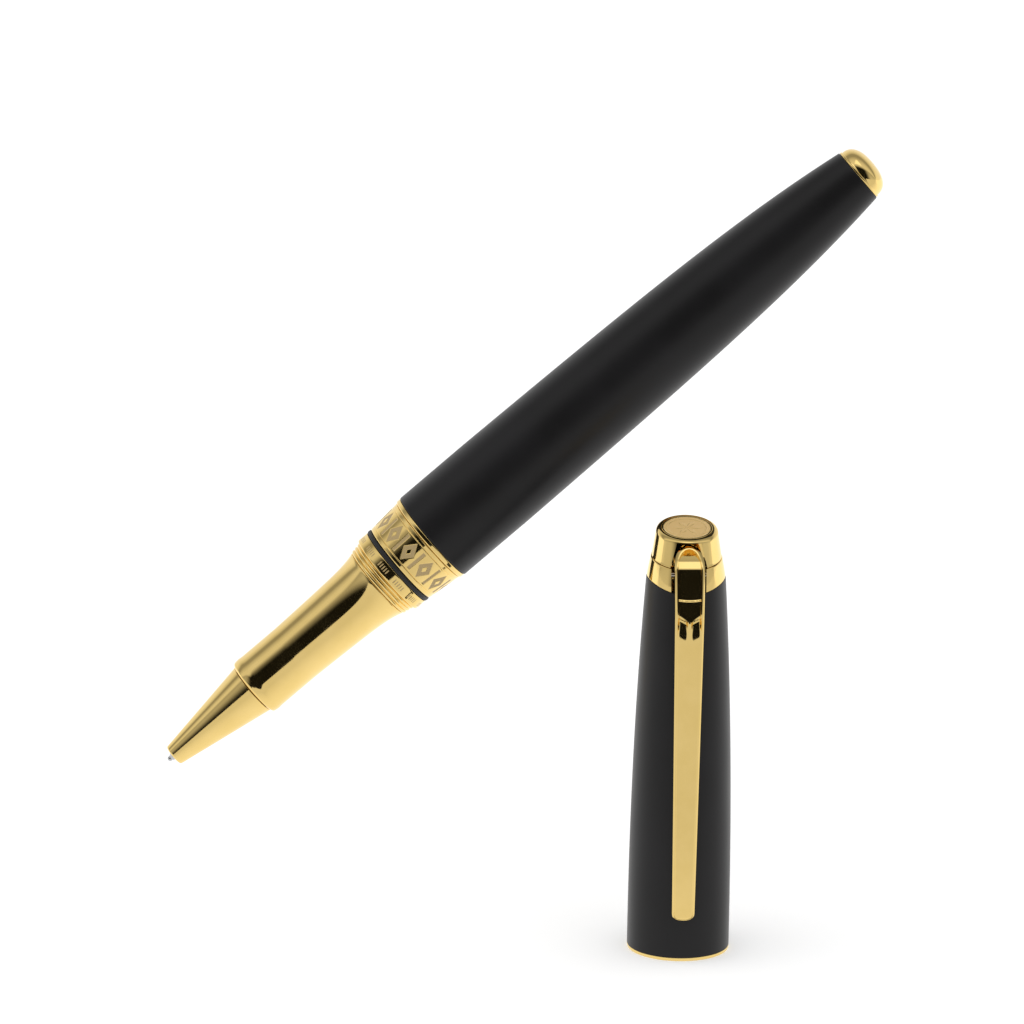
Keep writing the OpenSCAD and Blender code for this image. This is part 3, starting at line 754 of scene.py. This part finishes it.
def slot_prism(low, low_half, high, top_half, depth):
    """The clip's slot in the cap's head, narrower towards its top, cut from the front."""
    knee = 51.7
    front = [(-low_half, low), (low_half, low), (low_half, knee)]
    front += [(top_half, high), (-top_half, high), (-low_half, knee)]
    points = [(x, depth, z) for x, z in front] + [(x, -10, z) for x, z in front]
    n = len(front)
    faces = [list(range(n))[::-1], [n + i for i in range(n)]]
    faces += [[i, (i + 1) % n, n + (i + 1) % n, n + i] for i in range(n)]
    return points, faces


def sloped_shell(name, low_at, high_at, outer_r, inner_r, rows, edge, sides=240):
    """A turned shell between two sloped edges. The edges are functions of the angle and the radius."""
    points, faces = [], []
    for k in range(sides):
        a = 2 * math.pi * k / sides
        low, high = low_at(a), high_at(a)
        ring = []
        ring.append((inner_r(low), low))
        ring.append((outer_r(low) - edge * 1.6, low))
        ring.append((outer_r(low) - edge, low))
        ring.append((outer_r(low) - edge * 0.3, low + edge * 0.3))
        ring.append((outer_r(low + edge), low + edge))
        for u in np.linspace(0, 1, rows):
            z = low + edge * 1.6 + u * (high - low - edge * 3.2)
            ring.append((outer_r(z), z))
        ring.append((outer_r(high - edge), high - edge))
        ring.append((outer_r(high) - edge * 0.3, high - edge * 0.3))
        ring.append((outer_r(high) - edge, high))
        ring.append((outer_r(high) - edge * 1.6, high))
        ring.append((inner_r(high), high))
        points += [(r * math.cos(a), r * math.sin(a), z) for r, z in ring]
        count = len(ring)
    for k in range(sides):
        n = (k + 1) % sides
        for i in range(count):
            m = (i + 1) % count
            faces.append([k * count + i, n * count + i, n * count + m, k * count + m])
    return make_mesh(name, points, faces, CAP, sharp=40)


def on_slope(height, slope):
    """Where a plane that falls towards the front meets the collar's outer surface, for each angle."""

    def at(a):
        z = height
        for _ in range(12):
            z = height + slope * collar_r(z) * math.sin(a)
        return z

    return at


def on_dip(height):
    """The collar's lower edge for each angle: level at the back and sides, then falling to the front."""

    def at(a):
        z = height
        for _ in range(12):
            z = height - COLLAR_DIP * (min(0, collar_r(z) * math.sin(a)) / 5.2) ** 2
        return z

    return at


def make_cap(gold, frosted, black):
    outline = rounded(
        [(5.95, 0, 0.05), (6.62, 0, 0.17), (6.62, 0.45, 0.05)]
        + [(6.22, 0.45, 0), (6.22, 2.05, 0), (5.95, 2.05, 0)]
    )
    finish_piece(lathe("mouth_rim", outline, CAP, 192), "cap", "gilt", gold, "cap_mouth_ring")

    tube = sloped_shell(
        "cap_shell",
        lambda a: 0.48,
        on_dip(COLLAR_Z),
        cap_r,
        lambda z: 6.25 if z < 12.03 else cap_r(z) - 0.5,
        70,
        0.05,
    )
    finish_piece(tube, "cap", "black_lacquer", black, "cap_tube")

    collar_low, seam = on_dip(COLLAR_Z + GAP), on_slope(SEAM_Z - GAP, SEAM_SLOPE)
    collar = sloped_shell("collar_shell", collar_low, seam, collar_r, lambda z: 4.02, 16, 0.07)
    cut(collar, *slot_prism(47.2, 2.25, 56.2, 2.25, 0.0), CAP)
    finish_piece(collar, "cap", "gilt", gold, "cap_collar")

    make_crown(gold)
    make_rosette(frosted)


def make_crown(gold):
    sides, fillet, steps = 240, 0.62, 12
    seam_r, rise = collar_r(SEAM_Z) - 0.06, 0.16
    points, faces = [], []
    for k in range(sides):
        a = 2 * math.pi * k / sides
        lean = CROWN_SLOPE * math.sin(a)
        foot = SEAM_Z
        for _ in range(8):
            foot = SEAM_Z + SEAM_SLOPE * (seam_r - rise * (foot - SEAM_Z)) * math.sin(a)
        foot_r = seam_r - rise * (foot - SEAM_Z)
        # where the side meets the top
        top_r = (seam_r - rise * (CAP_LEN - SEAM_Z)) / (1 + rise * lean)
        corner = np.array([top_r, CAP_LEN + lean * top_r])
        side = np.array([foot_r, foot]) - corner
        side_len = np.linalg.norm(side)
        side = side / side_len
        flat = np.array([-1.0, -lean]) / math.hypot(1, lean)
        half = math.acos(float(side @ flat)) / 2
        reach = fillet / math.tan(half)
        reach = min(reach, top_r - 3.44)
        radius = reach * math.tan(half)
        middle = side + flat
        centre = corner + middle / np.linalg.norm(middle) * radius / math.sin(half)
        start, end = corner + side * reach, corner + flat * reach
        a0, a1 = math.atan2(*(start - centre)[::-1]), math.atan2(*(end - centre)[::-1])
        sweep = (a1 - a0 + math.pi) % (2 * math.pi) - math.pi
        ring = [(0.9, 48.75), (3.99, 48.75), (3.99, foot), (foot_r - 0.1, foot)]
        ring += [(foot_r - 0.02, foot + 0.02), (foot_r - 0.005, foot + 0.08)]
        for u in np.linspace(0.05, 0.96, 14):
            ring.append(tuple(np.array([foot_r, foot]) + (start - np.array([foot_r, foot])) * u))
        for i in range(steps + 1):
            b = a0 + sweep * i / steps
            ring.append((centre[0] + radius * math.cos(b), centre[1] + radius * math.sin(b)))
        for r in (3.4, 3.33):
            ring.append((r, CAP_LEN + lean * r))
        ring.append((3.33, CAP_LEN + lean * 3.33 - 0.28))
        ring.append((0.9, CAP_LEN + lean * 0.9 - 0.28))
        points += [(r * math.cos(a), r * math.sin(a), z) for r, z in ring]
        count = len(ring)
    for k in range(sides):
        n = (k + 1) % sides
        for i in range(count):
            m = (i + 1) % count
            faces.append([k * count + i, n * count + i, n * count + m, k * count + m])
    crown = make_mesh("crown_shell", points, faces, CAP, sharp=40)
    cut(crown, *slot_prism(48.0, 2.42, 55.07, 1.57, -1.2), CAP)
    finish_piece(crown, "cap", "gilt", gold, "cap_crown")


def make_rosette(frosted):
    """The disc in the crown: a polished ring and a plain six-petalled flower on a frosted ground."""
    sides, rows, field = 192, 64, 3.3
    tilt = Matrix.Translation((0, 0, CAP_LEN * MM)) @ Matrix.Rotation(math.atan(CROWN_SLOPE), 4, "X")
    place = CAP @ tilt
    points, faces, frost = [(0, 0, -0.03)], [], [0.0]
    radii = list(np.linspace(0.04, field - 0.06, rows)) + [field - 0.02, field]

    def relief(r, a):
        ring = 1 - abs(r - 2.55) / 0.14
        petal = 0.0
        for k in range(6):
            b = a - k * math.pi / 3
            x, y = r * math.cos(b), r * math.sin(b)
            if 0.2 < x < 1.95:
                petal = max(petal, 1 - abs(y) / (0.34 * math.sin(math.pi * (x - 0.2) / 1.75) + 1e-6))
        hub = 1 - r / 0.22
        rim = (r - 2.95) / 0.12
        return min(max(ring * 3, petal * 3, hub * 3, rim, 0), 1)

    for r in radii:
        for k in range(sides):
            a = 2 * math.pi * k / sides
            raised = relief(r, a)
            drop = 0.0 if r < field - 0.04 else (0.015 if r < field else 0.06)
            points.append((r * math.cos(a), r * math.sin(a), -0.045 + 0.035 * raised - drop))
            frost.append(1 - 3.2 * raised * (1 - raised) if r < 3.02 else 1 - raised)
    base = len(points)
    for k in range(sides):
        a = 2 * math.pi * k / sides
        points.append((field * math.cos(a), field * math.sin(a), -0.27))
        frost.append(0)
    for k in range(sides):
        n = (k + 1) % sides
        faces.append([0, 1 + k, 1 + n])
        for i in range(len(radii)):
            low = 1 + i * sides
            faces.append([low + k, low + sides + k, low + sides + n, low + n])
    faces.append([base + k for k in range(sides)][::-1])
    disc = make_mesh("crown_rosette", points, faces, place, sharp=50)
    disc.data.attributes.new("frost", "FLOAT", "POINT").data.foreach_set("value", frost)
    finish_piece(disc, "cap", "gilt", frosted, "crown_medallion")


# ---- Clip ----


def curve(table):
    """A smooth curve through (height, value) pairs."""
    zs = np.array([p[0] for p in table], float)
    vs = np.array([p[1] for p in table], float)
    order = np.argsort(zs)
    zs, vs = zs[order], vs[order]
    slope = np.zeros(len(zs))
    step = np.diff(vs) / np.diff(zs)
    slope[0], slope[-1] = step[0], step[-1]
    for i in range(1, len(zs) - 1):
        if step[i - 1] * step[i] > 0:
            slope[i] = 2 * step[i - 1] * step[i] / (step[i - 1] + step[i])

    def at(z):
        z = min(max(z, zs[0]), zs[-1])
        i = min(int(np.searchsorted(zs, z, "right")) - 1, len(zs) - 2)
        h = zs[i + 1] - zs[i]
        t = (z - zs[i]) / h
        return float(
            vs[i] * (2 * t**3 - 3 * t**2 + 1)
            + slope[i] * h * (t**3 - 2 * t**2 + t)
            + vs[i + 1] * (3 * t**2 - 2 * t**3)
            + slope[i + 1] * h * (t**3 - t**2)
        )

    return at


def ease(value, low, high):
    t = min(max((value - low) / (high - low), 0), 1)
    return t * t * (3 - 2 * t)


rim_front = curve(
    [(54.75, 3.42), (54.62, 3.62), (54.3, 3.9), (53.8, 4.32)]
    + [(53.3, 4.86), (52.9, 5.32), (52.1, 5.92), (51, 6.32)]
    + [(49.9, 6.62), (48.6, 6.9)]
    + [(47.5, 7.08), (46, 7.23), (6.25, 7.57), (5.65, 7.4)]
)
dish_front = curve(
    [(54.3, 3.24), (54.1, 3.43), (53.9, 3.62), (53.67, 3.86)]
    + [(53.5, 4.09), (53.3, 4.36), (53.1, 4.64), (52.9, 4.92)]
    + [(52.7, 5.09), (52.4, 5.33), (52.1, 5.57), (51.95, 5.65), (51.0, 5.9)]
    + [(50.0, 6.14), (48.2, 6.55), (46.5, 6.93), (45.3, 7.18)]
)
clip_back = curve(
    [(54.75, 3.08), (54.4, 3.03), (52.2, 3.06), (51.0, 2.92)]
    + [(49.6, 2.9), (49.45, 3.4), (49.3, 5.3), (48.9, 5.75)]
    + [(48.3, 6.1), (46.2, 6.4), (9.65, 6.8), (8.45, 6.69), (6.35, 6.69), (5.65, 6.88)]
)


def clip_depth(x, z, edge):
    """How far in front of the cap's axis the clip's face is, edge being the distance in from its outline."""
    front = rim_front(z)
    # the blade under the chevron starts with a shallow hollow on each side of its middle
    chevron = 45.33 + 0.76 * min(abs(x) / 1.42, 1)
    if z < chevron:
        share = min((chevron - z) / 3, 1)
        front -= 0.5 * (1 - share) ** 1.7 * ease(abs(x), 0.12, 0.5) * (1 - ease(abs(x), 1.25, 1.5))
    # the dished panel inside the rim
    inside = ease(edge, 0.44, 0.52)
    if inside > 0 and z > chevron - 0.02:
        dish = dish_front(z)
        ridge = 0.09 * max(0, 1 - abs(z - 48.17 - 0.06 * x * x) / 0.13)
        depth = min(dish + ridge, front)
        sill = ease(z, chevron - 0.02, chevron + 0.45)
        depth = front + (depth - 0.12 * (1 - sill) - front) * sill
        front = front + (depth - front) * inside
    # the blade lies a little lower than the narrow rim along its edges
    front -= 0.09 * ease(edge, 0.3, 0.42) * ease(chevron - z, 0.1, 0.5)
    # the bevel round the outline
    bevel = 0.3
    if edge < bevel:
        front -= 0.24 * (1 - edge / bevel) ** 1.25
    return front


def make_clip(gold):
    # Half the outline, from the arch's top to the tip, as (x, z)
    half = [(1.93 * math.sin(a), 52.45 + 2.3 * math.cos(a)) for a in np.linspace(0, math.pi / 2, 36)]
    heights = list(np.linspace(52.35, 49.65, 22)) + list(np.linspace(49.6, 49.2, 7))
    heights += list(np.linspace(49.1, 48.6, 5)) + list(np.linspace(48.5, 47.98, 13))
    heights += list(np.linspace(47.8, 46.5, 10)) + list(np.linspace(46.4, 42.6, 48))
    heights += list(np.linspace(42.2, 7.4, 50)) + [7.1, 6.85]
    half += [(1.93 - 0.48 * (52.45 - z) / 45.7, z) for z in heights]
    half += [
        (1.45 * math.cos(a) ** 0.8, 6.75 - 1.09 * math.sin(a) ** 0.85)
        for a in np.linspace(0, math.pi / 2, 30)[1:]
    ]
    half = np.array(half)
    half[0, 0] = half[-1, 0] = 0
    ahead = np.gradient(half, axis=0)
    ahead /= np.linalg.norm(ahead, axis=1)[:, None]
    inward = np.stack([ahead[:, 1], -ahead[:, 0]], axis=1)
    inward[0], inward[-1] = (0, -1), (0, 1)
    offsets = np.array([0, 0.02, 0.06, 0.12, 0.2, 0.28, 0.32, 0.38, 0.44, 0.46, 0.48, 0.5, 0.52, 0.56])
    middle = np.linspace(1, 0, 13)[1:]
    points, faces, rows = [], [], []
    for i, (x, z) in enumerate(half):
        narrow = 0.6 if z < 6.8 else 1.0
        spots = []
        for e in offsets * narrow:
            px, pz = x + inward[i, 0] * e, z + inward[i, 1] * e
            spots.append((max(px, 0), pz, e / narrow))
        x_in, z_in = spots[-1][0], spots[-1][1]
        for share in middle:
            spots.append((x_in * share, z_in, 0.56 + (1 - share)))
        right = [(px, -clip_depth(px, pz, e), pz) for px, pz, e in spots]
        left = [(-px, y, pz) for px, y, pz in right[:-1]]
        row = left + right[::-1]
        back = clip_back(z)
        lug = 1.21 - (z - 50.6) ** 2
        if lug > 0:
            back = min(back, 2.6 - math.sqrt(lug))
        wall = right[0][1]
        for share in (0.06, 0.5, 0.94):
            row.append((x, wall + (-back - wall) * share, z))
        for share in np.linspace(1, -1, 9):
            row.append((x * share, -back, z))
        for share in (0.94, 0.5, 0.06):
            row.append((-x, wall + (-back - wall) * share, z))
        rows.append((len(points), len(row)))
        points += row
    for (low, count), (high, _) in zip(rows, rows[1:]):
        for k in range(count):
            n = (k + 1) % count
            faces.append([low + k, low + n, high + n, high + k])
    for start, count in (rows[0], rows[-1]):
        faces.append([start + k for k in range(count)])
    clip = make_mesh("clip_blade", points, faces, CAP)
    weld = clip.modifiers.new("weld", "WELD")
    weld.merge_threshold = 1e-6
    bpy.context.view_layer.update()
    clean = bpy.data.meshes.new_from_object(clip.evaluated_get(bpy.context.evaluated_depsgraph_get()))
    clip.modifiers.clear()
    clip.data = clean
    clean.polygons.foreach_set("use_smooth", [True] * len(clean.polygons))
    clean.set_sharp_from_angle(angle=math.radians(38))
    finish_piece(clip, "clip", "gilt", gold, "clip")


def make_springs(steel):
    low, high = along_pen("refill_spring")
    start = PEN_POINT + PEN_AXIS * low
    height = (high - low) / MM
    spring = coil("refill_coil", start, PEN_AXIS, 2.1, 0.25, height, 5)
    finish_piece(spring, "spring_carrier", "steel", steel, "refill_spring")
    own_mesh(spring)

    seat = CAP @ (Vector((0, -0.35, 53.3)) * MM)
    spring = coil("clip_coil", seat, -cap_back, 0.5, 0.11, 2.2, 4)
    finish_piece(spring, "cap", "steel", steel, "clip_spring")
    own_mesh(spring)


# ---- Put together ----

scene = bpy.context.scene
scene.view_settings.view_transform = "Standard"
make_camera()
make_world()
make_floor()
make_lamp()

pen_gold = gilt("gilt_pen", tuple(PEN_AXIS))
band_gold = gilt("gilt_band", tuple(PEN_AXIS), (0.4, 0.29, 0.13))
cap_gold = gilt("gilt_cap", (0, 0, 1))
crown_gold = gilt("gilt_crown", (0, 0, 1), (0.68, 0.46, 0.18))
clip_gold = gilt("gilt_clip", tuple(cap_side))
black = lacquer("black_lacquer")
pen_brass = turned("brass_pen", (0.62, 0.45, 0.2), 0.28, tuple(PEN_AXIS))
cap_brass = turned("brass_cap", (0.62, 0.45, 0.2), 0.28, (0, 0, 1))
pen_steel = turned("steel_pen", (0.62, 0.63, 0.65), 0.2, tuple(PEN_AXIS))
cap_steel = turned("steel_cap", (0.62, 0.63, 0.65), 0.2, (0, 0, 1))
rubber = moulded("black_rubber", (0.012, 0.012, 0.012), 0.55)
dark_plastic = moulded("dark_plastic", (0.05, 0.05, 0.055), 0.45)
light_plastic = moulded("light_plastic", (0.8, 0.78, 0.72), 0.4)
ink_fibre = moulded("ink_fibre", (0.03, 0.04, 0.22), 0.85, 2500.0)
coloured_plastic = moulded("coloured_plastic", (0.02, 0.04, 0.25), 0.25)

make_section(pen_gold, band_gold, rubber)
make_core(pen_brass)
make_barrel(pen_gold, band_gold, black)
make_refill(pen_steel)
make_cap(cap_gold, crown_gold, black)
make_clip(clip_gold)
make_springs(pen_steel)

kept = {
    "thread_bush": pen_brass,
    "refill_guide": dark_plastic,
    "end_plug": pen_brass,
    "spring_washer": pen_brass,
    "refill_nose": light_plastic,
    "refill_tube": pen_steel,
    "ink_reservoir": ink_fibre,
    "refill_plug": coloured_plastic,
    "cap_liner": cap_brass,
    "cap_clutch": cap_steel,
    "inner_cap": dark_plastic,
    "cap_end_plug": cap_brass,
    "crown_screw": cap_steel,
    "clip_pin": cap_steel,
}
for name, material in kept.items():
    node = frame["nodes"][name]
    node.data.materials.clear()
    node.data.materials.append(material)
